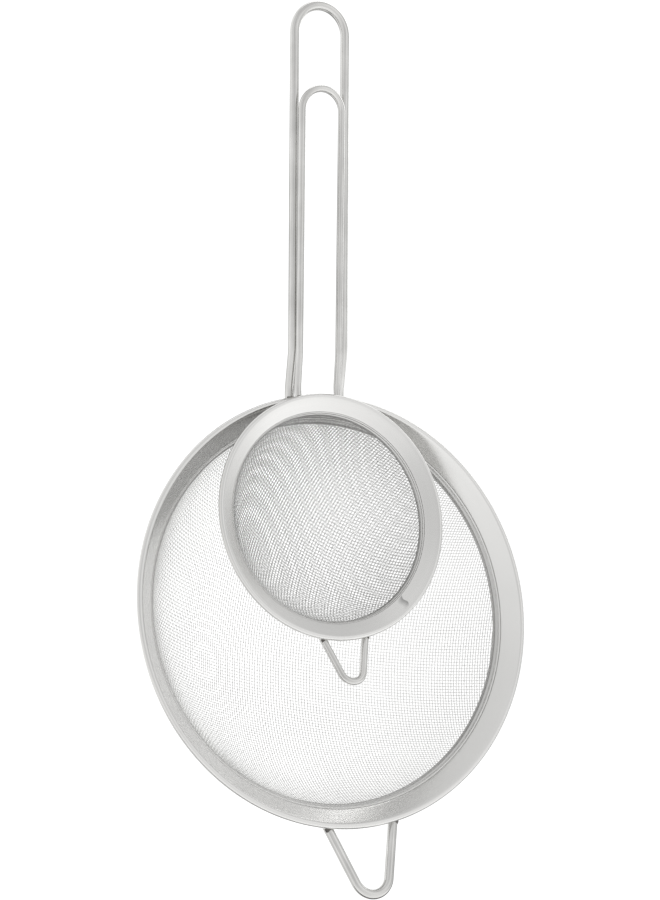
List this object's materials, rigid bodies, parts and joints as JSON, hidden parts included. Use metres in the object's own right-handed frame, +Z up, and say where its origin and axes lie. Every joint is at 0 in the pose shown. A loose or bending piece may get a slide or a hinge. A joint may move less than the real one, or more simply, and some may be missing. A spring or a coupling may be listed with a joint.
{
  "type": "nested pair of mesh strainers",
  "caption": "Hand-held wire-mesh strainer with a smaller one nested in its bowl, each with a sloping steel rim, a long wire loop handle and a V-shaped rest hook.",
  "frame": {"origin": "centre of the large strainer's mouth, level with the top of its rolled lip, where it rests on a bowl or pot", "axes": "+Z up out of the mouths; +Y towards the handles; X across, the plane X = 0 halves the large strainer"},
  "size_m": [0.18, 0.3687, 0.1064],
  "materials": {
    "band_steel": "polished stainless sheet with a faint circular grain",
    "wire_steel": "polished stainless wire",
    "woven_cloth": "bright stainless wire cloth, plain weave"
  },
  "bodies": {
    "large_strainer": {"large_rim_band": "band_steel", "large_clamp_ring": "band_steel", "large_mesh_bowl": "woven_cloth", "large_handle_wire": "wire_steel", "large_rest_hook": "wire_steel"},
    "small_strainer": {"small_rim_band": "band_steel", "small_clamp_ring": "band_steel", "small_mesh_bowl": "woven_cloth", "small_handle_wire": "wire_steel", "small_rest_hook": "wire_steel"}
  },
  "joints": [
    {"name": "lift_off", "type": "slide", "parent": "large_strainer", "child": "small_strainer", "axis": [0, 0, 1], "range_m": [0, 0.12]}
  ]
}
